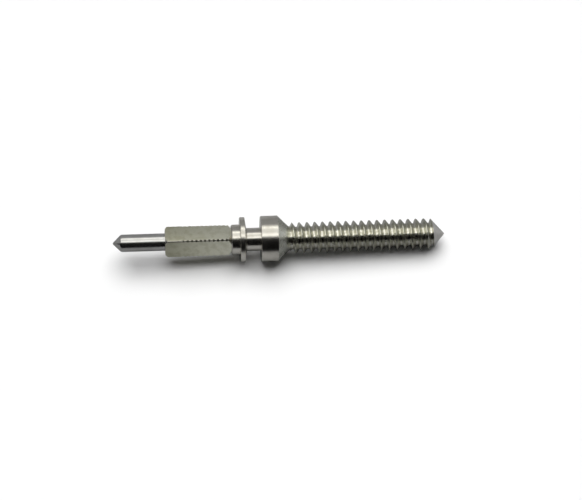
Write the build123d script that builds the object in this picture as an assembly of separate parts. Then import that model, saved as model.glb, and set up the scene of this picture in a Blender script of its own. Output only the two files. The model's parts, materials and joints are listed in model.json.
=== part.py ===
from build123d import *
from math import ceil, cos, radians, sin, tan
import os

# Winding stem of a mechanical wristwatch. The real stem is one bar of hardened steel, turned between
# its two points, milled square where the sliding clutch rides and threaded for the crown, so it is one
# solid here too.
#
# Frame: X is the axis of the stem. The pilot points to -X, into the movement, and the thread for the
# crown to +X, out of the case. +Z is up when the stem lies on a bench. The origin is on the axis, at
# the face of the hub that closes the slot of the setting lever.

# Driving dimensions, in millimetres, from the pilot to the thread

# Pilot, which turns in the main plate
pilot_diameter = 0.50
pilot_length = 1.50
pilot_point_angle = 90.0

# Square, on which the sliding clutch slides and which it drives
square_length = 1.90
square_across_flats = 0.64
square_front_chamfer = 0.06
square_foot_diameter = 0.69
# The square is turned this far about the axis, in degrees, from flats that lie level and upright: in
# the pose of the photo one of its corners then points at the viewer
square_turn = -15.0

# Round seat of the winding pinion. The pinion passes over the corners of the square with a clearance
pinion_seat_diameter = 0.88
pinion_seat_length = 0.25
pinion_seat_chamfer = 0.03
pinion_passing_clearance = 0.005

# Flange and slot, which hold the nose of the setting lever
flange_diameter = 1.30
flange_width = 0.145
slot_width = 0.455
slot_diameter = 0.665
slot_flank_angle = 8.0
slot_fillet_radius = 0.03

# Hub, which turns in the main plate beside the crown, and the cone behind it
hub_diameter = 1.33
hub_length = 0.49
hub_cone_angle = 90.0

# Thread for the crown, S0.90 with a pitch of 0.225, right-hand. The helix of its crest leaves the place
# where its full diameter meets the cone of the hub at the entry angle, in degrees from +Y towards +Z
thread_major_diameter = 0.90
thread_length = 4.21
thread_pitch = 0.225
thread_depth = 0.126
thread_crest_width = 0.01
thread_flank_angle = 60.0
thread_entry_angle = 66.0
thread_point_angle = 96.0
# The ridge of the thread is wound with its feet sunk into the core, and cut with an overrun
thread_sink = 0.015
thread_overrun = 0.05

# Small edges: the broken edges of flange and hub, and the round nose of both points
edge_break = 0.025
nose_radius = 0.04

# Radii and stations along the axis that follow from the sizes above
pilot_radius = pilot_diameter / 2
pinion_seat_radius = pinion_seat_diameter / 2
square_blank_radius = pinion_seat_radius - pinion_passing_clearance
square_foot_radius = square_foot_diameter / 2
flange_radius = flange_diameter / 2
slot_radius = slot_diameter / 2
hub_radius = hub_diameter / 2
thread_radius = thread_major_diameter / 2
core_radius = thread_radius - thread_depth

hub_face = 0.0
slot_face = hub_face - slot_width
flange_face = slot_face - flange_width
pinion_seat_face = flange_face - pinion_seat_length
square_face = pinion_seat_face - square_length
pilot_tip = square_face - pilot_length

hub_end = hub_face + hub_length
hub_cone_slope = tan(radians(hub_cone_angle / 2))
thread_start = hub_end + (hub_radius - thread_radius) / hub_cone_slope
core_start = hub_end + (hub_radius - core_radius) / hub_cone_slope
thread_end = thread_start + thread_length


def turned(*outline):
    """Turn an outline about the axis of the stem. Its lines give x and radius, and it is closed."""
    return revolve(make_face(Wire(outline)), Axis.X)


def corners(*points):
    """Join points of x and radius by straight lines."""
    return [Line(start, end) for start, end in zip(points, points[1:])]


def point_length(radius, point_angle):
    """Length of a point of the given base radius, from its base to the tip of its round nose."""
    half_angle = radians(point_angle / 2)
    cut_off_by_nose = nose_radius / sin(half_angle) - nose_radius
    return radius / tan(half_angle) - cut_off_by_nose


def pointed_end(tip, base, radius, point_angle):
    """Outline of a cone with a round nose, from its tip on the axis to its base."""
    inward = 1 if base > tip else -1
    nose_centre = tip + inward * nose_radius

    def on_nose(angle):
        return nose_centre - inward * nose_radius * cos(angle), nose_radius * sin(angle)

    nose_angle = radians(90 - point_angle / 2)
    nose_end = on_nose(nose_angle)
    return [ThreePointArc((tip, 0), on_nose(nose_angle / 2), nose_end), Line(nose_end, (base, radius))]


def pilot():
    """Round pilot with its centring point."""
    shoulder = pilot_tip + point_length(pilot_radius, pilot_point_angle)
    return turned(
        *pointed_end(pilot_tip, shoulder, pilot_radius, pilot_point_angle),
        *corners((shoulder, pilot_radius), (square_face, pilot_radius), (square_face, 0), (pilot_tip, 0)),
    )


def clutch_square():
    """Turned blank with a chamfer at both ends, milled on four sides so that round corners remain."""
    front_radius = square_blank_radius - square_front_chamfer
    foot_chamfer = square_blank_radius - square_foot_radius
    blank = turned(
        *corners(
            (square_face, 0),
            (square_face, front_radius),
            (square_face + square_front_chamfer, square_blank_radius),
            (pinion_seat_face - foot_chamfer, square_blank_radius),
            (pinion_seat_face, square_foot_radius),
            (pinion_seat_face, 0),
            (square_face, 0),
        )
    )
    bar = Box(square_length, square_across_flats, square_across_flats)
    middle = (square_face + pinion_seat_face) / 2
    return blank & Pos(middle, 0, 0) * Rot(square_turn, 0, 0) * bar


def pinion_seat():
    """Round seat, with a chamfer that leads the pinion on."""
    return turned(
        *corners(
            (pinion_seat_face, 0),
            (pinion_seat_face, pinion_seat_radius - pinion_seat_chamfer),
            (pinion_seat_face + pinion_seat_chamfer, pinion_seat_radius),
            (flange_face, pinion_seat_radius),
            (flange_face, 0),
            (pinion_seat_face, 0),
        )
    )


def flange_and_slot():
    """Thin flange with a sloping flank, and the neck of the slot, which meets it in a fillet."""
    flank_top = flange_radius - edge_break
    flank_foot = slot_face + (flank_top - slot_radius) * tan(radians(slot_flank_angle))
    outline = make_face(
        Wire(
            corners(
                (flange_face, 0),
                (flange_face, flange_radius - edge_break),
                (flange_face + edge_break, flange_radius),
                (slot_face - edge_break, flange_radius),
                (slot_face, flank_top),
                (flank_foot, slot_radius),
                (hub_face, slot_radius),
                (hub_face, 0),
                (flange_face, 0),
            )
        )
    )
    foot = outline.vertices().sort_by_distance((flank_foot, slot_radius, 0))[0]
    return revolve(fillet(foot, slot_fillet_radius), Axis.X)


def hub():
    """Hub with a broken edge towards the slot and a cone down to the core of the thread."""
    return turned(
        *corners(
            (hub_face, 0),
            (hub_face, hub_radius - edge_break),
            (hub_face + edge_break, hub_radius),
            (hub_end, hub_radius),
            (core_start, core_radius),
            (core_start, 0),
            (hub_face, 0),
        )
    )


def thread_ridge():
    """Ridge of the thread, wound for its whole length and for some turns more at both ends."""
    flank_slope = tan(radians(thread_flank_angle / 2))
    half_crest = thread_crest_width / 2
    half_foot = half_crest + (thread_depth + thread_sink) * flank_slope
    foot_radius = core_radius - thread_sink
    spare_turns = 2
    turns = spare_turns + ceil(thread_length / thread_pitch) + spare_turns

    def helix(offset, radius):
        return Helix(thread_pitch, turns * thread_pitch, radius, center=(0, 0, offset)).edge()

    edges = [
        helix(-half_foot, foot_radius),
        helix(-half_crest, thread_radius),
        helix(half_crest, thread_radius),
        helix(half_foot, foot_radius),
    ]
    sides = [Face.make_surface_from_curves(*pair) for pair in zip(edges, edges[1:] + edges[:1])]
    ends = [Face(Wire(corners(*(edge @ share for edge in edges), edges[0] @ share))) for share in (0, 1)]
    entry = radians(thread_entry_angle)
    first_crest = thread_start - spare_turns * thread_pitch
    place = Plane(origin=(first_crest, 0, 0), x_dir=(0, cos(entry), sin(entry)), z_dir=(1, 0, 0))
    return place.location * Solid(Shell(sides + ends))


def crown_thread():
    """Thread for the crown, which leads in at the foot of the hub's cone and ends on a point."""
    tip = thread_end + point_length(thread_radius, thread_point_angle)
    core_outline = [(core_start, 0), (core_start, core_radius), (tip, core_radius), (tip, 0), (core_start, 0)]
    clear_radius = thread_radius + thread_overrun
    lead_length = (clear_radius - core_radius) * tan(radians(thread_flank_angle / 2))
    point_slope = tan(radians(thread_point_angle / 2))
    clear_end = thread_end - thread_overrun / point_slope
    envelope = turned(
        *pointed_end(tip, clear_end, clear_radius, thread_point_angle),
        *corners(
            (clear_end, clear_radius),
            (core_start + lead_length, clear_radius),
            (core_start, core_radius),
            (core_start, 0),
            (tip, 0),
        ),
    )
    return (turned(*corners(*core_outline)) + thread_ridge()) & envelope


def winding_stem():
    """The whole stem: its turned lengths joined into the one bar that it is cut from."""
    lengths = [pilot(), clutch_square(), pinion_seat(), flange_and_slot(), hub(), crown_thread()]
    return Part() + lengths


os.makedirs("parts", exist_ok=True)
export_step(winding_stem(), "parts/winding_stem.step")
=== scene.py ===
"""Winding stem of a mechanical wristwatch, modelled and finished for the camera.

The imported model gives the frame: X is the axis of the stem, the pilot points to -X, the thread for the
crown to +X, and +Z is up. The real stem is one bar of hardened steel, so it is one piece here too. It
is made in the order of the real one: the bar is turned, the square is milled, and the thread is cut.

The mesh is modelled in millimetres and scaled to metres when it is finished. An angle round the axis is
measured from +Y towards +Z.
"""

import json
import logging
from collections.abc import Iterator, Mapping, Sequence
from dataclasses import dataclass
from enum import Enum
from math import atan, cos, hypot, pi, radians, sin, tan
from typing import Any

import bpy
from mathutils import Matrix, Vector


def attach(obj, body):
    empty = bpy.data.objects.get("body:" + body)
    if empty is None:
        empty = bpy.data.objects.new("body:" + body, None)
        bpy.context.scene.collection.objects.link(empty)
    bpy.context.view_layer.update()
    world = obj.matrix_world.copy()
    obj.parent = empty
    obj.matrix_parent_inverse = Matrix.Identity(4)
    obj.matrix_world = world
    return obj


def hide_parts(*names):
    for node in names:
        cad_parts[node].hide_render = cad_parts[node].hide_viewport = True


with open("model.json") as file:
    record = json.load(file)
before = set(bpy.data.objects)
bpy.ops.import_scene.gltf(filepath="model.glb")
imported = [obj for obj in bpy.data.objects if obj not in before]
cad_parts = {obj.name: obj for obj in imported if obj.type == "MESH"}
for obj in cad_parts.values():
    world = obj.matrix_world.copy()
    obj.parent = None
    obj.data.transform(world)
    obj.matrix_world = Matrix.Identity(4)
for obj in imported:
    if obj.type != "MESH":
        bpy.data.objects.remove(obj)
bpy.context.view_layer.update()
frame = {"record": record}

log = logging.getLogger("winding_stem")

NODE = "winding_stem"
BODY = "root"

MILLIMETRE = 0.001

# Fineness of the mesh: steps of one full turn and of one rounded edge, and distances in millimetres
TURN_STEPS = 144
THREAD_STEPS = 96
ROUND_STEPS = 4
SMALLEST_EDGE = 0.0001
SMOOTH_ANGLE = radians(35.0)

# How far a face may be from a surface, in millimetres, and how far its direction may be off, as a cosine,
# and still belong to that surface
FACE_TOLERANCE = 0.004
CONE_TOLERANCE = 0.02
FLAT_TOLERANCE = 0.0001

# Sockets of the Mix node for its share, its two colours and its result
MIX_SHARE, MIX_FIRST, MIX_SECOND, MIX_RESULT = 0, 6, 7, 2

Station = tuple[float, float]
Colour = tuple[float, float, float]

BLACK: Colour = (0.0, 0.0, 0.0)


def mount(name: str) -> dict[str, Any]:
    """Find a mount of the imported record.

    Args:
        name: the mount's name.

    Returns:
        Its dimensions, in millimetres.
    """
    return next(entry["dims"] for entry in frame["record"]["mounts"] if entry["name"] == name)


def around(angle: float) -> Vector:
    """Direction square to the axis.

    Args:
        angle: angle from +Y towards +Z, in degrees.

    Returns:
        The unit vector.
    """
    return Vector((0.0, cos(radians(angle)), sin(radians(angle))))


@dataclass(frozen=True)
class Corner:
    """A corner of a turned outline, in millimetres."""

    x: float
    radius: float
    rounding: float = 0.0

    @property
    def place(self) -> Vector:
        """The corner as a point of x and radius."""
        return Vector((self.x, self.radius))

    def rounded(self, before: "Corner", after: "Corner") -> list[Station]:
        """Round this corner between its neighbours.

        Args:
            before: the corner ahead of it.
            after: the corner that follows.

        Returns:
            The points of its arc, or the corner alone where it stays sharp.
        """
        if not self.rounding:
            return [(self.x, self.radius)]
        back = (before.place - self.place).normalized()
        onward = (after.place - self.place).normalized()
        half = back.angle(onward) / 2
        centre = self.place + (back + onward).normalized() * (self.rounding / sin(half))
        reach = self.rounding / tan(half)
        first = self.place + back * reach - centre
        last = self.place + onward * reach - centre
        turn = -first.angle_signed(last)
        spokes = [Matrix.Rotation(turn * step / ROUND_STEPS, 2) @ first for step in range(ROUND_STEPS + 1)]
        return [tuple(centre + spoke) for spoke in spokes]


def outline(corners: Sequence[Corner]) -> list[Station]:
    """Walk along corners and round those that ask for it.

    Args:
        corners: corners in order. The first and the last stay sharp.

    Returns:
        Points of x and radius.
    """
    stations: list[Station] = [(corners[0].x, corners[0].radius)]
    for before, corner, after in zip(corners, corners[1:], corners[2:]):
        stations += corner.rounded(before, after)
    return stations + [(corners[-1].x, corners[-1].radius)]


class Cut(Enum):
    """What one solid does to another."""

    JOIN = "UNION"
    REMOVE = "DIFFERENCE"
    KEEP_SHARED = "INTERSECT"


class Workshop:
    """The operations that make a mesh: draw, turn, wind, cut and finish."""

    @staticmethod
    def put_down_everything() -> None:
        """Leave edit mode and select nothing."""
        if bpy.context.mode != "OBJECT":
            bpy.ops.object.mode_set(mode="OBJECT")
        bpy.ops.object.select_all(action="DESELECT")

    @staticmethod
    def pick_up(solid: bpy.types.Object, edit: bool = False) -> None:
        """Make one object the only one selected.

        Args:
            solid: the object.
            edit: whether its mesh is then edited, with all of it selected.
        """
        Workshop.put_down_everything()
        bpy.context.view_layer.objects.active = solid
        solid.select_set(True)
        if edit:
            bpy.ops.object.mode_set(mode="EDIT")
            bpy.ops.mesh.select_all(action="SELECT")

    @staticmethod
    def draw(name: str, stations: Sequence[Station]) -> bpy.types.Object:
        """Draw a chain of edges in the plane of X and Z.

        Args:
            name: name of the new object.
            stations: points of x and radius.

        Returns:
            The new object, in edit mode with the whole chain selected.
        """
        Workshop.put_down_everything()
        points = [Vector((x, 0.0, radius)) for x, radius in stations]
        bpy.ops.mesh.primitive_plane_add(size=SMALLEST_EDGE, location=points[0])
        chain = bpy.context.object
        chain.name = name
        bpy.ops.object.transform_apply(location=True, rotation=False, scale=False)
        bpy.ops.object.mode_set(mode="EDIT")
        bpy.ops.mesh.merge(type="CENTER")
        for here, there in zip(points, points[1:]):
            bpy.ops.mesh.extrude_vertices_move(TRANSFORM_OT_translate={"value": there - here})
        bpy.ops.mesh.select_all(action="SELECT")
        return chain

    @staticmethod
    def close() -> None:
        """Merge the doubles of the mesh in edit mode, turn its faces outwards and leave edit mode."""
        bpy.ops.mesh.select_all(action="SELECT")
        bpy.ops.mesh.remove_doubles(threshold=SMALLEST_EDGE)
        bpy.ops.mesh.normals_make_consistent(inside=False)
        bpy.ops.object.mode_set(mode="OBJECT")

    @staticmethod
    def turn(name: str, corners: Sequence[Corner], steps: int = TURN_STEPS) -> bpy.types.Object:
        """Turn an outline about the axis.

        Args:
            name: name of the new object.
            corners: corners of the outline, which starts and ends on the axis.
            steps: faces of one full turn.

        Returns:
            A closed solid.
        """
        solid = Workshop.draw(name, outline(corners))
        bpy.ops.mesh.spin(steps=steps, angle=2 * pi, center=(0.0, 0.0, 0.0), axis=(1.0, 0.0, 0.0))
        Workshop.close()
        return solid

    @staticmethod
    def wind(name: str, corners: Sequence[Corner], pitch: float, turns: int) -> bpy.types.Object:
        """Wind a closed profile about the axis into a right-hand helix.

        Args:
            name: name of the new object.
            corners: corners of the profile where the helix starts, at 90 degrees round the axis.
            pitch: advance of one turn.
            turns: number of turns.

        Returns:
            A closed solid.
        """
        solid = Workshop.draw(name, outline(corners))
        bpy.ops.mesh.edge_face_add()
        bpy.ops.mesh.delete(type="ONLY_FACE")
        bpy.ops.object.mode_set(mode="OBJECT")
        screw = solid.modifiers.new("wind", "SCREW")
        screw.axis = "X"
        screw.angle = 2 * pi
        screw.screw_offset = pitch
        screw.iterations = turns
        screw.steps = screw.render_steps = THREAD_STEPS
        Workshop.pick_up(solid)
        bpy.ops.object.modifier_apply(modifier=screw.name)
        Workshop.pick_up(solid, edit=True)
        bpy.ops.mesh.fill_holes(sides=0)
        Workshop.close()
        return solid

    @staticmethod
    def cut(solid: bpy.types.Object, tool: bpy.types.Object, how: Cut) -> None:
        """Work one solid with another, which is used up.

        Args:
            solid: the solid that stays.
            tool: the solid that works on it.
            how: what it does.
        """
        Workshop.pick_up(solid)
        boolean = solid.modifiers.new(how.name.lower(), "BOOLEAN")
        boolean.operation = how.value
        boolean.solver = "EXACT"
        boolean.object = tool
        bpy.ops.object.modifier_apply(modifier=boolean.name)
        bpy.data.objects.remove(tool, do_unlink=True)

    @staticmethod
    def finish(solid: bpy.types.Object) -> None:
        """Close a mesh, scale it from millimetres to metres and smooth it between its sharp edges.

        Args:
            solid: the object, whose place stays in its mesh.
        """
        Workshop.pick_up(solid, edit=True)
        bpy.ops.mesh.remove_doubles(threshold=SMALLEST_EDGE)
        bpy.ops.mesh.fill_holes(sides=0)
        bpy.ops.mesh.quads_convert_to_tris(quad_method="BEAUTY", ngon_method="BEAUTY")
        bpy.ops.mesh.normals_make_consistent(inside=False)
        bpy.ops.object.mode_set(mode="OBJECT")
        solid.scale = (MILLIMETRE, MILLIMETRE, MILLIMETRE)
        bpy.ops.object.transform_apply(location=True, rotation=True, scale=True)
        bpy.ops.object.shade_smooth_by_angle(angle=SMOOTH_ANGLE)


@dataclass(frozen=True)
class Point:
    """Turned point of the bar: a cone with a round nose. Lengths are in millimetres."""

    radius: float
    angle: float
    nose: float = 0.04

    @property
    def half_angle(self) -> float:
        """Half of the cone's angle, in radians."""
        return radians(self.angle / 2)

    @property
    def length(self) -> float:
        """Length from the base of the cone to the tip of its nose."""
        return self.radius / tan(self.half_angle) - self.nose / sin(self.half_angle) + self.nose

    def corners(self, base: float, towards: int) -> list[Corner]:
        """Corners of the nose.

        Args:
            base: place of the cone's base on the axis.
            towards: 1 where it points to +X, -1 where it points to -X.

        Returns:
            Corners from the tip on the axis out to where the nose meets the cone.
        """
        centre = base + towards * (self.length - self.nose)
        angles = [(pi / 2 - self.half_angle) * step / ROUND_STEPS for step in range(ROUND_STEPS + 1)]
        return [Corner(centre + towards * self.nose * cos(a), self.nose * sin(a)) for a in angles]


@dataclass(frozen=True)
class Pilot:
    """Round pilot, which turns in the main plate. Its point finds the hole."""

    end: float
    length: float = 1.50
    radius: float = mount("pilot_pivot")["r_mm"]
    point_angle: float = 90.0
    shoulder_rounding: float = 0.10

    def corners(self) -> list[Corner]:
        """Lay out the pilot.

        Returns:
            Corners from the tip to the face of the square.
        """
        point = Point(self.radius, self.point_angle)
        base = self.end - self.length + point.length
        return [
            *point.corners(base, -1),
            Corner(base, self.radius, self.shoulder_rounding),
            Corner(self.end, self.radius),
        ]


@dataclass(frozen=True)
class ClutchSquare:
    """Square that the sliding clutch rides on, milled from a turned blank whose corners stay round.

    The blank carries the grooves of a coarse feed. Milling leaves them only on the narrow lands of the
    corners, where they show as a row of notches.
    """

    end: float
    length: float = mount("clutch_square")["length_mm"]
    half_across_flats: float = 0.32
    blank_radius: float = 0.435
    front_chamfer: float = 0.06
    foot_radius: float = 0.345
    rounding: float = 0.04
    turned_by: float = -15.0
    # Grooves: how far the first is behind the front face, their number, their spacing, their width at the
    # top and at the floor, and the depth of the first and of the last
    first_groove: float = 0.52
    grooves: int = 11
    groove_pitch: float = 0.124
    groove_width: float = 0.066
    groove_floor: float = 0.03
    shallowest: float = 0.010
    deepest: float = 0.018
    # How far below the turned corners the painted shade of a groove starts
    shade_painted_from: float = 0.0045
    # Width of the bevel that wear has left on the long edges
    burnished: float = 0.008
    burnish_steps: int = 2
    cutter_depth: float = 0.3
    cutter_width: float = 1.2
    cutter_overrun: float = 0.1

    @property
    def start(self) -> float:
        """Place of the front face."""
        return self.end - self.length

    @property
    def foot_start(self) -> float:
        """Place where the chamfer at the foot starts."""
        return self.end - (self.blank_radius - self.foot_radius)

    @property
    def flats(self) -> list[float]:
        """Angles that the four flats face."""
        return [self.turned_by + quarter * 90.0 for quarter in range(4)]

    def corners(self) -> list[Corner]:
        """Lay out the turned blank.

        Returns:
            Corners from its front face to the seat of the pinion.
        """
        return [
            Corner(self.start, self.blank_radius - self.front_chamfer),
            Corner(self.start + self.front_chamfer, self.blank_radius, self.rounding),
            *self._groove_corners(),
            Corner(self.foot_start, self.blank_radius),
            Corner(self.end, self.foot_radius),
        ]

    def _groove_corners(self) -> Iterator[Corner]:
        """Lay out the turned grooves, which get deeper towards the pinion.

        Yields:
            Four corners for each groove.
        """
        for groove in range(self.grooves):
            middle = self.start + self.first_groove + groove * self.groove_pitch
            share = groove / (self.grooves - 1)
            floor = self.blank_radius - self.shallowest - share * (self.deepest - self.shallowest)
            yield Corner(middle - self.groove_width / 2, self.blank_radius)
            yield Corner(middle - self.groove_floor / 2, floor)
            yield Corner(middle + self.groove_floor / 2, floor)
            yield Corner(middle + self.groove_width / 2, self.blank_radius)

    def mill(self, bar: bpy.types.Object) -> None:
        """Mill the four flats, up to the shoulder of the pinion's seat.

        Args:
            bar: the turned bar.
        """
        start = self.start - self.cutter_overrun
        for angle in self.flats:
            Workshop.put_down_everything()
            middle = around(angle) * (self.half_across_flats + self.cutter_depth / 2)
            middle.x = (start + self.end) / 2
            bpy.ops.mesh.primitive_cube_add(
                size=1.0,
                location=middle,
                rotation=(radians(angle), 0.0, 0.0),
                scale=(self.end - start, self.cutter_depth, self.cutter_width),
            )
            cutter = bpy.context.object
            cutter.name = "milling_cutter"
            bpy.ops.object.transform_apply(location=True, rotation=True, scale=True)
            Workshop.cut(bar, cutter, Cut.REMOVE)
        self._burnish(bar)

    def _burnish(self, bar: bpy.types.Object) -> None:
        """Round the long edges of the flats, as the clutch wears them.

        Args:
            bar: the milled bar.
        """
        Workshop.pick_up(bar, edit=True)
        bpy.ops.mesh.select_all(action="DESELECT")
        bpy.ops.mesh.select_mode(type="EDGE")
        bpy.ops.object.mode_set(mode="OBJECT")
        flats: dict[tuple[int, int], int] = {}
        for face in bar.data.polygons:
            if self.is_flat(face):
                for key in face.edge_keys:
                    flats[key] = flats.get(key, 0) + 1
        land_start = self.start + self.front_chamfer
        for edge in bar.data.edges:
            ends = [bar.data.vertices[i].co for i in edge.vertices]
            on_land = all(land_start < end.x < self.foot_start for end in ends)
            edge.select = on_land and flats.get(edge.key) == 1
        bpy.ops.object.mode_set(mode="EDIT")
        bpy.ops.mesh.bevel(offset=self.burnished, segments=self.burnish_steps, clamp_overlap=True)
        bpy.ops.mesh.select_mode(type="VERT")
        Workshop.close()

    def is_groove(self, face: bpy.types.MeshPolygon) -> bool:
        """Say whether a face that isn't on a flat lies in one of the grooves.

        Args:
            face: the face.

        Returns:
            Whether it does.
        """
        x, y, z = face.center
        grooved = self.start + self.first_groove - self.groove_width < x < self.foot_start
        return grooved and hypot(y, z) < self.blank_radius - self.shade_painted_from

    def is_flat(self, face: bpy.types.MeshPolygon) -> bool:
        """Say whether a face is on one of the milled flats.

        Args:
            face: the face.

        Returns:
            Whether it is.
        """
        along = self.start < face.center.x < self.end
        return along and max(face.normal.dot(around(angle)) for angle in self.flats) > 1.0 - FLAT_TOLERANCE


@dataclass(frozen=True)
class PinionSeat:
    """Round seat on which the winding pinion turns."""

    end: float
    length: float = mount("winding_pinion_seat")["length_mm"]
    radius: float = mount("winding_pinion_seat")["r_mm"]
    chamfer: float = 0.03
    edge: float = 0.01

    @property
    def start(self) -> float:
        """Place of the shoulder towards the square."""
        return self.end - self.length

    def corners(self) -> list[Corner]:
        """Lay out the seat.

        Returns:
            Corners from the shoulder to the flange.
        """
        return [
            Corner(self.start, self.radius - self.chamfer),
            Corner(self.start + self.chamfer, self.radius, self.edge),
            Corner(self.end, self.radius),
        ]


@dataclass(frozen=True)
class Flange:
    """Thin flange and the slot behind it, which hold the nose of the setting lever."""

    end: float
    width: float = 0.145
    radius: float = 0.65
    slot_width: float = mount("setting_lever_groove")["length_mm"]
    slot_radius: float = mount("setting_lever_groove")["r_mm"]
    flank_angle: float = 8.0
    edge: float = 0.025
    fillet: float = 0.03

    @property
    def start(self) -> float:
        """Place of the flange's face towards the pinion."""
        return self.end - self.slot_width - self.width

    def corners(self) -> list[Corner]:
        """Lay out the flange and the slot.

        Returns:
            Corners from the face of the flange to the face of the hub.
        """
        flank = self.start + self.width
        flank_foot = flank + (self.radius - self.slot_radius) * tan(radians(self.flank_angle))
        return [
            Corner(self.start, self.radius, self.edge),
            Corner(flank, self.radius, self.edge),
            Corner(flank_foot, self.slot_radius, self.fillet),
            Corner(self.end, self.slot_radius),
        ]


@dataclass(frozen=True)
class Hub:
    """Hub, which turns in the main plate beside the crown, and the cone of 45 degrees behind it."""

    start: float = 0.0
    length: float = 0.49
    radius: float = mount("hub_journal")["r_mm"]
    edge: float = 0.025
    back_edge: float = 0.008
    relief_radius: float = 0.326
    relief_end: float = 0.92
    relief_fillet: float = 0.18

    @property
    def end(self) -> float:
        """Place where the hub's cone starts."""
        return self.start + self.length

    def corners(self) -> list[Corner]:
        """Lay out the hub, its cone and the relief where the thread starts.

        Returns:
            Corners from the face of the hub to the axis inside the thread.
        """
        foot = self.end + self.radius - self.relief_radius
        return [
            Corner(self.start, self.radius, self.edge),
            Corner(self.end, self.radius, self.back_edge),
            Corner(foot, self.relief_radius, self.relief_fillet),
            Corner(self.relief_end, self.relief_radius),
            Corner(self.relief_end, 0.0),
        ]

    def is_cone(self, face: bpy.types.MeshPolygon) -> bool:
        """Say whether a face is on the cone.

        Args:
            face: the face.

        Returns:
            Whether it is.
        """
        x, y, z = face.center
        off_cone = hypot(y, z) - (self.radius - (x - self.end))
        faces_out = abs(face.normal.x - cos(pi / 4)) < CONE_TOLERANCE
        return x > self.end and abs(off_cone) < FACE_TOLERANCE and faces_out


@dataclass(frozen=True)
class CrownThread:
    """Right-hand thread for the crown, with 60 degree flanks, and the point that leads it in."""

    start: float
    length: float = mount("crown_thread")["length_mm"]
    radius: float = mount("crown_thread")["r_mm"]
    pitch: float = 0.225
    depth: float = 0.126
    crest: float = 0.020
    crest_rounding: float = 0.010
    # How far the crests lean towards the hub over the roots, as the die left them
    lean: float = 0.026
    root_rounding: float = 0.022
    point_angle: float = 96.0
    # Angle at which the helix of the crest passes the start of the thread, and the turns wound ahead of it
    entry_angle: float = 66.0
    turns_before: int = 2
    flank_angle: float = 60.0
    # The flank bends into the root this far above the core, and this far short of where it would meet it
    root_rise: float = 0.007
    root_gap: float = 0.004
    # How far the feet of the ridge are sunk into the core, and how far from their neighbours they stay
    sink: float = 0.014
    foot_gap: float = 0.004
    # How far the start of the thread is hidden inside the relief behind the hub
    hidden_start: float = 0.024
    # How far the space that the thread is cut to reaches past its crests
    spare: float = 0.05
    # How far inside the cone of the point a face may be and still belong to it, as those of its nose are
    point_depth: float = 0.03

    @property
    def end(self) -> float:
        """Place where the point starts."""
        return self.start + self.length

    @property
    def core_radius(self) -> float:
        """Radius at the root of the thread."""
        return self.radius - self.depth

    @property
    def core_start(self) -> float:
        """Place where the hub's cone of 45 degrees comes down to the core."""
        return self.start + self.depth

    @property
    def flank_slope(self) -> float:
        """Advance of a flank along the axis for each millimetre of its height."""
        return tan(radians(self.flank_angle / 2))

    def ridge_corners(self, middle: float) -> list[Corner]:
        """Corners of the ridge's profile, with its feet sunk into the core.

        Args:
            middle: place of the middle of the crest.

        Returns:
            Corners of the closed profile.
        """
        half_crest = self.crest / 2
        half_root = half_crest + self.depth * self.flank_slope
        half_foot = self.pitch / 2 - self.foot_gap
        foot_radius = self.core_radius - self.sink
        right = [
            Corner(half_crest, self.radius, self.crest_rounding),
            Corner(half_root - self.root_gap, self.core_radius + self.root_rise, self.root_rounding),
            Corner(half_foot, foot_radius),
        ]
        left = [Corner(-corner.x, corner.radius, corner.rounding) for corner in reversed(right)]
        slant = self.lean / self.depth
        upright = self.radius - self.depth / 2
        return [
            Corner(middle + corner.x + slant * (upright - corner.radius), corner.radius, corner.rounding)
            for corner in left + right
        ]

    def envelope_corners(self) -> list[Corner]:
        """Lay out the space that the thread may fill, between its lead behind the hub and its point.

        Returns:
            Corners from the axis behind the hub to the tip.
        """
        point = Point(self.radius, self.point_angle)
        wide = self.radius + self.spare
        hidden = self.core_start - self.hidden_start * self.flank_slope
        return [
            Corner(hidden, 0.0),
            Corner(hidden, self.core_radius - self.hidden_start),
            Corner(self.core_start + (wide - self.core_radius) * self.flank_slope, wide),
            Corner(self.end - self.spare / tan(point.half_angle), wide),
            *reversed(point.corners(self.end, 1)),
        ]

    def build(self) -> bpy.types.Object:
        """Wind the ridge on its core and cut both to the point.

        Returns:
            The threaded bar, whose start is inside the relief behind the hub.
        """
        start, finish = self.start, self.end + self.radius + self.spare
        stations = [(start, 0.0), (start, self.core_radius), (finish, self.core_radius), (finish, 0.0)]
        core = Workshop.turn("thread_core", [Corner(*station) for station in stations], THREAD_STEPS)
        first = self.start + self.pitch * ((90.0 - self.entry_angle) / 360.0 - self.turns_before)
        turns = int((finish - first) / self.pitch)
        ridge = Workshop.wind("thread_ridge", self.ridge_corners(first), self.pitch, turns)
        Workshop.cut(core, ridge, Cut.JOIN)
        Workshop.cut(core, Workshop.turn("envelope", self.envelope_corners()), Cut.KEEP_SHARED)
        return core

    def is_point(self, face: bpy.types.MeshPolygon) -> bool:
        """Say whether a face is on the point.

        Args:
            face: the face.

        Returns:
            Whether it is.
        """
        x, y, z = face.center
        half_angle = radians(self.point_angle / 2)
        off_cone = hypot(y, z) - (self.radius - (x - self.end) * tan(half_angle))
        faces_out = face.normal.x > sin(half_angle) - CONE_TOLERANCE
        return x > self.end - self.spare and off_cone > -self.point_depth and faces_out


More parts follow.
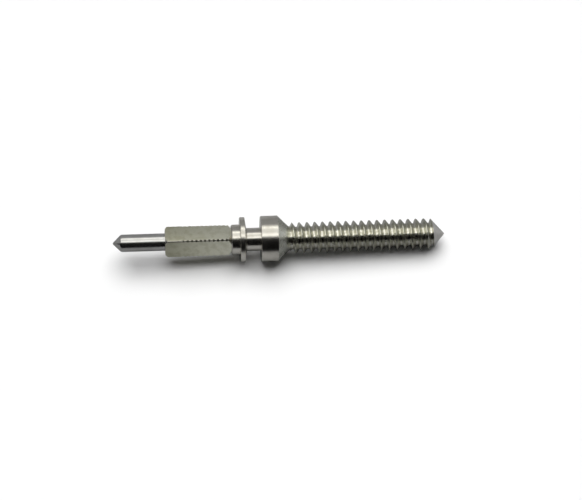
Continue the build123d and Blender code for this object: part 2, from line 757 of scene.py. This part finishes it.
class Field:
    """A shader socket on which arithmetic adds Math nodes."""

    def __init__(self, tree: "Tree", socket: bpy.types.NodeSocket) -> None:
        """Wrap a socket.

        Args:
            tree: the tree that the socket is in.
            socket: an output socket that holds a value, colour or vector.
        """
        self.tree = tree
        self.socket = socket

    def __add__(self, other: "Field | float") -> "Field":
        """This value and the other, added."""
        return self.tree.math("ADD", self, other)

    def __sub__(self, other: "Field | float") -> "Field":
        """This value less the other."""
        return self.tree.math("SUBTRACT", self, other)

    def __rsub__(self, other: float) -> "Field":
        """The other value less this one."""
        return self.tree.math("SUBTRACT", other, self)

    def __mul__(self, other: "Field | float") -> "Field":
        """This value times the other."""
        return self.tree.math("MULTIPLY", self, other)

    def __truediv__(self, other: "Field | float") -> "Field":
        """This value divided by the other."""
        return self.tree.math("DIVIDE", self, other)

    def __pow__(self, power: float) -> "Field":
        """This value to a power."""
        return self.tree.math("POWER", self, power)

    __radd__ = __add__
    __rmul__ = __mul__

    def size(self) -> "Field":
        """This value without its sign."""
        return self.tree.math("ABSOLUTE", self)

    def rise(self, low: float, high: float) -> "Field":
        """Rise smoothly from 0 to 1.

        Args:
            low: value at which it leaves 0.
            high: value at which it reaches 1.

        Returns:
            The risen value.
        """
        ends = {"Value": self, "From Min": low, "From Max": high}
        return self.tree.field("MapRange", {"interpolation_type": "SMOOTHSTEP"}, ends)


class Tree:
    """A node tree of a material or of the world."""

    def __init__(self, owner: bpy.types.Material | bpy.types.World) -> None:
        """Empty the tree.

        Args:
            owner: what the tree belongs to.
        """
        owner.use_nodes = True
        self.nodes = owner.node_tree.nodes
        self.links = owner.node_tree.links
        self.nodes.clear()

    def node(
        self,
        kind: str,
        settings: Mapping[str, Any] | None = None,
        sockets: Mapping[str | int, Any] | None = None,
    ) -> bpy.types.Node:
        """Add a node.

        Args:
            kind: type of the node, without its prefix.
            settings: values of its properties, which are set first.
            sockets: values or links of its inputs, by name or number.

        Returns:
            The node.
        """
        node = self.nodes.new(f"ShaderNode{kind}")
        for name, setting in (settings or {}).items():
            setattr(node, name, setting)
        for name, value in (sockets or {}).items():
            if isinstance(value, Field):
                self.links.new(value.socket, node.inputs[name])
            else:
                node.inputs[name].default_value = value
        return node

    def field(
        self,
        kind: str,
        settings: Mapping[str, Any] | None = None,
        sockets: Mapping[str | int, Any] | None = None,
        output: str | int = 0,
    ) -> Field:
        """Add a node and wrap one of its outputs.

        Args:
            kind: type of the node, without its prefix.
            settings: values of its properties.
            sockets: values or links of its inputs.
            output: name or number of the output.

        Returns:
            The output.
        """
        return Field(self, self.node(kind, settings, sockets).outputs[output])

    def math(self, operation: str, *values: "Field | float") -> Field:
        """Add a Math node.

        Args:
            operation: what it does.
            values: its inputs.

        Returns:
            Its result.
        """
        return self.field("Math", {"operation": operation}, dict(enumerate(values)))

    def parts(self, vector: Field) -> tuple[Field, Field, Field]:
        """Take a vector apart.

        Args:
            vector: the vector.

        Returns:
            Its X, Y and Z.
        """
        outputs = self.node("SeparateXYZ", sockets={"Vector": vector}).outputs
        return Field(self, outputs["X"]), Field(self, outputs["Y"]), Field(self, outputs["Z"])

    def place(self) -> tuple[Field, Field, Field]:
        """Find the place on the surface.

        Returns:
            Its object coordinates, in millimetres.
        """
        metres = self.field("TexCoord", output="Object")
        scaled = {0: metres, "Scale": 1.0 / MILLIMETRE}
        return self.parts(self.field("VectorMath", {"operation": "SCALE"}, scaled))

    def noise(self, x: "Field | float", y: "Field | float", z: "Field | float", detail: float = 2.0) -> Field:
        """Add a noise.

        Args:
            x: first coordinate, in lumps of the noise.
            y: second coordinate.
            z: third coordinate.
            detail: how many finer noises are added.

        Returns:
            The noise, around 0.5.
        """
        vector = self.field("CombineXYZ", sockets={"X": x, "Y": y, "Z": z})
        return self.field("TexNoise", sockets={"Vector": vector, "Scale": 1.0, "Detail": detail})

    def mix(self, share: Field, first: "Field | Colour", second: "Field | Colour") -> Field:
        """Mix two colours.

        Args:
            share: share of the second, from 0 to 1.
            first: first colour.
            second: second colour.

        Returns:
            The mixed colour.
        """
        start, end = (colour if isinstance(colour, Field) else (*colour, 1.0) for colour in (first, second))
        sockets = {MIX_SHARE: share, MIX_FIRST: start, MIX_SECOND: end}
        return self.field("Mix", {"data_type": "RGBA"}, sockets, MIX_RESULT)


@dataclass(frozen=True)
class SteelFinish:
    """Finish of one kind of surface of the steel. Lengths are in millimetres.

    A finish changes along three patterns: lines that run round the axis, or along it on a milled flat,
    soft patches of a thin tarnish, and a fine grain.
    """

    name: str
    colour: Colour
    tarnish: Colour
    roughness: float
    line_width: float
    line_depth: float
    patch_width: float
    patches: float = 0.5
    # Values of the noise between which a patch sets in, and how many finer noises fray it
    patch_edge: tuple[float, float] = (0.42, 0.68)
    patch_detail: float = 3.0
    patch_roughness: float = 0.08
    line_roughness: float = 0.06
    # How fast the lines change lengthwise, to the millimetre: on a milled flat, and on a turned length
    milled_drift: float = 0.6
    turned_drift: float = 0.7
    grain_width: float = 0.02
    grain_depth: float = 0.0
    across_axis: bool = True
    # Places along the axis between which the colour turns darker towards -X, and how much more of the tarnish
    # colour it takes ahead of them
    darker_ahead_between: tuple[float, float] | None = None
    darker_ahead_by: float = 0.7
    # Distances from the axis between which a painted shade darkens the steel, and the softness of both edges
    painted_shade_between: tuple[float, float] | None = None
    painted_shade_edges: tuple[float, float] = (0.01, 0.005)
    painted_shade_colour: Colour = (0.62, 0.62, 0.54)

    def material(self) -> bpy.types.Material:
        """Make the material.

        Returns:
            The material, whose patterns follow the place on the stem.
        """
        material = bpy.data.materials.new(self.name)
        tree = Tree(material)
        x, y, z = tree.place()
        radius = (y * y + z * z) ** 0.5
        lines = self._lines(tree, x, y, z, radius)
        patches = tree.noise(*(part / self.patch_width for part in (x, y, z)), self.patch_detail)
        tarnished = patches.rise(*self.patch_edge) * self.patches
        # The colour darkens towards -X, ahead of these places
        if self.darker_ahead_between:
            tarnished = tarnished + (1.0 - x.rise(*self.darker_ahead_between)) * self.darker_ahead_by
        grain = tree.noise(*(part / self.grain_width for part in (x, y, z)))
        colour = tree.mix(tarnished, self.colour, self.tarnish)
        roughness = self.roughness + tarnished * self.patch_roughness + (lines - 0.5) * self.line_roughness
        # Painted shade: the steel between these distances from the axis is mixed towards a darker colour
        if self.painted_shade_between:
            (low, high), (inner, outer) = self.painted_shade_between, self.painted_shade_edges
            shade_share = radius.rise(low - inner, low + inner) * (1.0 - radius.rise(high - outer, high + outer))
            colour = tree.mix(shade_share, colour, self.painted_shade_colour)
        height = lines * self.line_depth + grain * self.grain_depth
        bump = {"Height": height, "Strength": 1.0, "Distance": MILLIMETRE}
        steel = {
            "Base Color": colour,
            "Metallic": 1.0,
            "Roughness": roughness,
            "Normal": tree.field("Bump", sockets=bump),
        }
        shader = tree.field("BsdfPrincipled", sockets=steel)
        tree.node("OutputMaterial", sockets={"Surface": shader})
        return material

    def _lines(self, tree: Tree, x: Field, y: Field, z: Field, radius: Field) -> Field:
        """Fine lines of the tool.

        Args:
            tree: the tree to add them to.
            x: place along the axis.
            y: place across it.
            z: height above it.
            radius: distance from it.

        Returns:
            The lines, around 0.5.
        """
        if self.across_axis:
            return tree.noise(x / self.line_width, radius / self.line_width, (y + z) * self.turned_drift)
        return tree.noise(x * self.milled_drift, y / self.line_width, z / self.line_width)


class Surface(Enum):
    """Kinds of surface on the stem, each with its finish."""

    POLISHED = SteelFinish(
        name="polished_pilot",
        colour=(0.64, 0.64, 0.63),
        tarnish=(0.54, 0.54, 0.52),
        roughness=0.20,
        line_width=0.02,
        line_depth=0.0003,
        patch_width=0.30,
    )
    TURNED = SteelFinish(
        name="turned_journals",
        colour=(0.66, 0.645, 0.595),
        tarnish=(0.54, 0.515, 0.45),
        roughness=0.20,
        line_width=0.03,
        line_depth=0.0013,
        patch_width=0.30,
    )
    MILLED = SteelFinish(
        name="milled_flats",
        colour=(0.79, 0.79, 0.665),
        tarnish=(0.565, 0.56, 0.42),
        roughness=0.32,
        line_width=0.025,
        line_depth=0.0006,
        patch_width=0.16,
        patches=0.45,
        grain_depth=0.001,
        across_axis=False,
        darker_ahead_between=(-2.9, -0.9),
    )
    MATTE = SteelFinish(
        name="matte_cones",
        colour=(0.60, 0.61, 0.55),
        tarnish=(0.45, 0.46, 0.385),
        roughness=0.24,
        line_width=0.02,
        line_depth=0.0008,
        patch_width=0.20,
        patches=0.8,
        grain_depth=0.001,
    )
    POINTED = SteelFinish(
        name="turned_point",
        colour=(0.88, 0.875, 0.85),
        tarnish=(0.70, 0.695, 0.66),
        roughness=0.40,
        line_width=0.02,
        line_depth=0.0006,
        patch_width=0.15,
        grain_depth=0.0006,
    )
    THREADED = SteelFinish(
        name="cut_thread",
        colour=(0.71, 0.705, 0.635),
        tarnish=(0.58, 0.575, 0.48),
        roughness=0.17,
        line_width=0.02,
        line_depth=0.0004,
        patch_width=0.12,
        patches=0.8,
        grain_width=0.05,
        grain_depth=0.008,
        # Painted shade on the crests and the tops of the flanks, for their dark reflections
        painted_shade_between=(0.41, 0.47),
    )
    # Painted shade: the faces deep in the grooves of the square are coloured nearly black
    SHADED_GROOVES = SteelFinish(
        name="grimed_grooves",
        colour=(0.10, 0.10, 0.08),
        tarnish=(0.05, 0.05, 0.04),
        roughness=0.5,
        line_width=0.03,
        line_depth=0.0004,
        patch_width=0.10,
    )


@dataclass(frozen=True)
class WindingStem:
    """The whole stem: its lengths in order, from the pilot to the thread for the crown."""

    hub: Hub = Hub()

    @property
    def flange(self) -> Flange:
        """Flange and slot, which end at the hub."""
        return Flange(end=self.hub.start)

    @property
    def seat(self) -> PinionSeat:
        """Seat of the pinion, which ends at the flange."""
        return PinionSeat(end=self.flange.start)

    @property
    def square(self) -> ClutchSquare:
        """Square, which ends at the seat of the pinion."""
        return ClutchSquare(end=self.seat.start)

    @property
    def pilot(self) -> Pilot:
        """Pilot, which ends at the square."""
        return Pilot(end=self.square.start)

    @property
    def thread(self) -> CrownThread:
        """Thread, whose full diameter comes out of the cone of the hub."""
        return CrownThread(start=self.hub.end + self.hub.radius - CrownThread.radius)

    def build(self) -> bpy.types.Object:
        """Turn, mill and thread the bar, and finish its surfaces.

        Returns:
            The piece.
        """
        lengths = (self.pilot, self.square, self.seat, self.flange, self.hub)
        corners = [corner for length in lengths for corner in length.corners()]
        bar = Workshop.turn("winding_stem_steel", corners)
        log.info("turned the bar: %d faces", len(bar.data.polygons))
        self.square.mill(bar)
        log.info("milled the square: %d faces", len(bar.data.polygons))
        Workshop.cut(bar, self.thread.build(), Cut.JOIN)
        log.info("cut the thread: %d faces", len(bar.data.polygons))
        self.dress(bar)
        Workshop.finish(bar)
        return bar

    def dress(self, bar: bpy.types.Object) -> None:
        """Give each face the finish of its surface.

        Args:
            bar: the stem, in millimetres.
        """
        bar.data.materials.clear()
        surfaces = list(Surface)
        for surface in surfaces:
            bar.data.materials.append(surface.value.material())
        for face in bar.data.polygons:
            face.material_index = surfaces.index(self.surface_of(face))

    def surface_of(self, face: bpy.types.MeshPolygon) -> Surface:
        """Tell which kind of surface a face belongs to.

        Args:
            face: a face of the stem.

        Returns:
            The kind.
        """
        if self.square.is_flat(face):
            return Surface.MILLED
        # Painted shade in the grooves of the square
        if self.square.is_groove(face):
            return Surface.SHADED_GROOVES
        if self.hub.is_cone(face):
            return Surface.MATTE
        if self.thread.is_point(face):
            return Surface.POINTED
        if face.center.x > self.hub.end + self.hub.back_edge:
            return Surface.THREADED
        return Surface.POLISHED if face.center.x < self.square.start else Surface.TURNED


@dataclass(frozen=True)
class PhotoCamera:
    """Camera at the photo's angle. Angles are in degrees, lengths in millimetres."""

    azimuth: float = -6.0
    elevation: float = 60.0
    roll: float = 3.42
    aim: tuple[float, float, float] = (0.019, -0.363, 0.0)
    distance: float = 70.0
    focal_pixels: float = 2438.4
    image_width: float = 582.0
    sensor_width: float = 36.0
    shift: float = 0.05
    nearest: float = 1.0
    farthest: float = 10000.0

    def place(self) -> bpy.types.Object:
        """Add the camera and make it the scene's.

        Returns:
            The camera.
        """
        Workshop.put_down_everything()
        turn, rise, roll = radians(self.azimuth), radians(self.elevation), radians(self.roll)
        back = Vector((sin(turn) * cos(rise), -cos(turn) * cos(rise), sin(rise)))
        level = Vector((cos(turn), sin(turn), 0.0))
        upright = back.cross(level)
        right = level * cos(roll) + upright * sin(roll)
        up = back.cross(right)
        bpy.ops.object.camera_add()
        camera = bpy.context.object
        camera.name = "photo_camera"
        facing = Matrix((right, up, back)).transposed().to_4x4()
        place = (Vector(self.aim) + back * self.distance) * MILLIMETRE
        camera.matrix_world = Matrix.Translation(place) @ facing
        camera.data.sensor_width = self.sensor_width
        camera.data.lens = self.focal_pixels * self.sensor_width / self.image_width
        camera.data.shift_x = self.shift
        camera.data.clip_start = self.nearest * MILLIMETRE
        camera.data.clip_end = self.farthest * MILLIMETRE
        camera.data.dof.use_dof = False
        bpy.context.scene.camera = camera
        return camera


@dataclass(frozen=True)
class Bench:
    """White bench on which the stem lies, on its hub and on the last crests of its thread.

    The photo shows the bench whiter than the steel reflects it, so the steel sees a greyer top in the
    same place. Places are in millimetres, and the width is in metres.
    """

    hub: Hub
    thread: CrownThread
    width: float = 1.6
    # Painted shade: the grey top darkens between these distances from the axis on the viewer's side
    fades_between: tuple[float, float] = (0.8, 18.0)
    # A painted pool of light: the top also darkens along the axis, away from the middle of the pool in which
    # the stem lies
    pool_middle: float = -0.8
    pool_edge: tuple[float, float] = (0.8, 2.4)
    pool_drop: float = 0.34
    seen: float = 0.82
    reflected: float = 0.375
    roughness: float = 0.6

    def build(self) -> list[bpy.types.Object]:
        """Lay the bench under the stem.

        Returns:
            The top that the camera sees and the one that the steel reflects.
        """
        tops = [self._top("bench", self.seen), self._top("bench_in_reflections", self.reflected, fades=True)]
        tops[0].visible_glossy = False
        tops[0].visible_shadow = False
        tops[1].visible_camera = tops[1].visible_diffuse = tops[1].visible_shadow = False
        return tops

    def _top(self, name: str, albedo: float, fades: bool = False) -> bpy.types.Object:
        """Make one top.

        Args:
            name: its name.
            albedo: the share of light that it sends back.
            fades: whether a painted shade darkens it towards the viewer, and a painted pool of light darkens
                it away from the stem's middle.

        Returns:
            The top.
        """
        slope = (self.hub.radius - self.thread.radius) / (self.thread.end - self.hub.end)
        place = Vector((self.hub.end, 0.0, -self.hub.radius)) * MILLIMETRE
        Workshop.put_down_everything()
        bpy.ops.mesh.primitive_plane_add(size=self.width, location=place, rotation=(0.0, -atan(slope), 0.0))
        top = bpy.context.object
        top.name = name
        material = bpy.data.materials.new(name)
        tree = Tree(material)
        grey = (albedo, albedo, albedo)
        colour = (*grey, 1.0)
        # Painted shade towards the viewer and a painted pool of light, on the top that the steel reflects
        if fades:
            x, y, _ = tree.place()
            from_pool = (x + (self.hub.end - self.pool_middle)).size()
            pool = 1.0 - self.pool_drop * from_pool.rise(*self.pool_edge)
            lit = (1.0 - (-1.0 * y).rise(*self.fades_between)) * pool
            colour = tree.mix(lit, BLACK, grey)
        paint = {"Base Color": colour, "Roughness": self.roughness, "Specular IOR Level": 0.0}
        tree.node("OutputMaterial", sockets={"Surface": tree.field("BsdfPrincipled", sockets=paint)})
        top.data.materials.append(material)
        return top


class Lamp(Enum):
    """Kinds of light that the studio hangs."""

    PANEL = "AREA"
    SUN = "SUN"


@dataclass(frozen=True)
class Strip:
    """Strip of light along the stem, from one angle to another round its axis, in degrees."""

    low: float
    high: float
    radiance: float


@dataclass(frozen=True)
class Wash:
    """Broad light that falls on the bench and that the steel doesn't show. Angles are in degrees."""

    name: str
    angle: float
    width: float
    strength: float
    # How far it leans towards the pilot
    lean: float = 0.0


@dataclass(frozen=True)
class Studio:
    """Soft box overhead, whose two tubes show through, in a grey room that is dark on the viewer's side.

    Angles are in degrees, and lengths in metres.
    """

    strips: tuple[Strip, ...] = (
        Strip(47.0, 56.0, 0.45),
        Strip(56.0, 67.0, 1.44),
        Strip(67.0, 93.0, 0.78),
        Strip(93.0, 108.0, 1.40),
    )
    light_colour: Colour = (1.0, 0.985, 0.93)
    light_distance: float = 0.30
    light_length: float = 0.60
    washes: tuple[Wash, ...] = (
        Wash("bench_wash", angle=72.0, width=64.0, strength=4.0, lean=4.0),
        Wash("bench_fill", angle=135.0, width=90.0, strength=0.12),
    )
    room: float = 0.30
    room_end: float = 0.74
    dark: float = 0.004
    # Cosines of the angle from +X between which its brighter end wall sets in
    end_wall: tuple[float, float] = (0.4, 0.95)
    # Angle round the axis past which the room is dark, and the softness of that edge
    dark_from: float = 116.0
    dark_edge: tuple[float, float] = (-0.07, 0.04)

    def light(self) -> None:
        """Hang the soft box that the steel shows, and the washes that light the bench and aren't seen."""
        for strip in self.strips:
            lamp = self._hang(Lamp.PANEL, "soft_strip", (strip.low + strip.high) / 2)
            lamp.data.shape = "RECTANGLE"
            lamp.data.size = self.light_length
            lamp.data.size_y = 2 * self.light_distance * tan(radians(strip.high - strip.low) / 2)
            lamp.data.energy = strip.radiance * pi * lamp.data.size * lamp.data.size_y
            lamp.data.color = self.light_colour
            lamp.visible_diffuse = False
        for wash in self.washes:
            sun = self._hang(Lamp.SUN, wash.name, wash.angle, wash.lean)
            sun.data.angle = radians(wash.width)
            sun.data.energy = wash.strength
            sun.visible_glossy = False

    def _hang(self, kind: Lamp, name: str, angle: float, lean: float = 0.0) -> bpy.types.Object:
        """Hang a light that faces the stem.

        Args:
            kind: kind of light.
            name: its name.
            angle: where it hangs, round the axis of the stem.
            lean: how far it leans towards the pilot.

        Returns:
            The light.
        """
        Workshop.put_down_everything()
        place = around(angle) * self.light_distance
        rotation = (radians(angle - 90.0), radians(-lean), 0.0)
        bpy.ops.object.light_add(type=kind.value, location=place, rotation=rotation)
        light = bpy.context.object
        light.name = name
        return light

    def paint_room(self) -> None:
        """Make the room: grey behind the stem, and dark on the viewer's side of the soft box."""
        world = bpy.data.worlds.new("room")
        bpy.context.scene.world = world
        world.cycles_visibility.diffuse = False
        tree = Tree(world)
        x, y, z = tree.parts(tree.field("TexCoord", output="Generated"))
        edge = radians(self.dark_from)
        viewer = (z * cos(edge) - y * sin(edge)).rise(*self.dark_edge)
        bright = self.room + x.rise(*self.end_wall) * (self.room_end - self.room)
        level = bright + viewer * (self.dark - bright)
        light = tree.field("Background", sockets={"Color": level, "Strength": 1.0})
        tree.node("OutputWorld", sockets={"Surface": light})
        bpy.context.scene.view_settings.view_transform = "Standard"


def main() -> None:
    """Build the stem, lay it on its bench and light it."""
    logging.basicConfig(level=logging.INFO, format="%(message)s")
    PhotoCamera().place()
    stem = WindingStem()
    piece = stem.build()
    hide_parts(NODE)
    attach(piece, BODY)
    log.info("%s: %d faces", piece.name, len(piece.data.polygons))
    bench = Bench(stem.hub, stem.thread)
    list(bench.build())
    studio = Studio()
    studio.light()
    studio.paint_room()


if __name__ == "__main__":
    main()
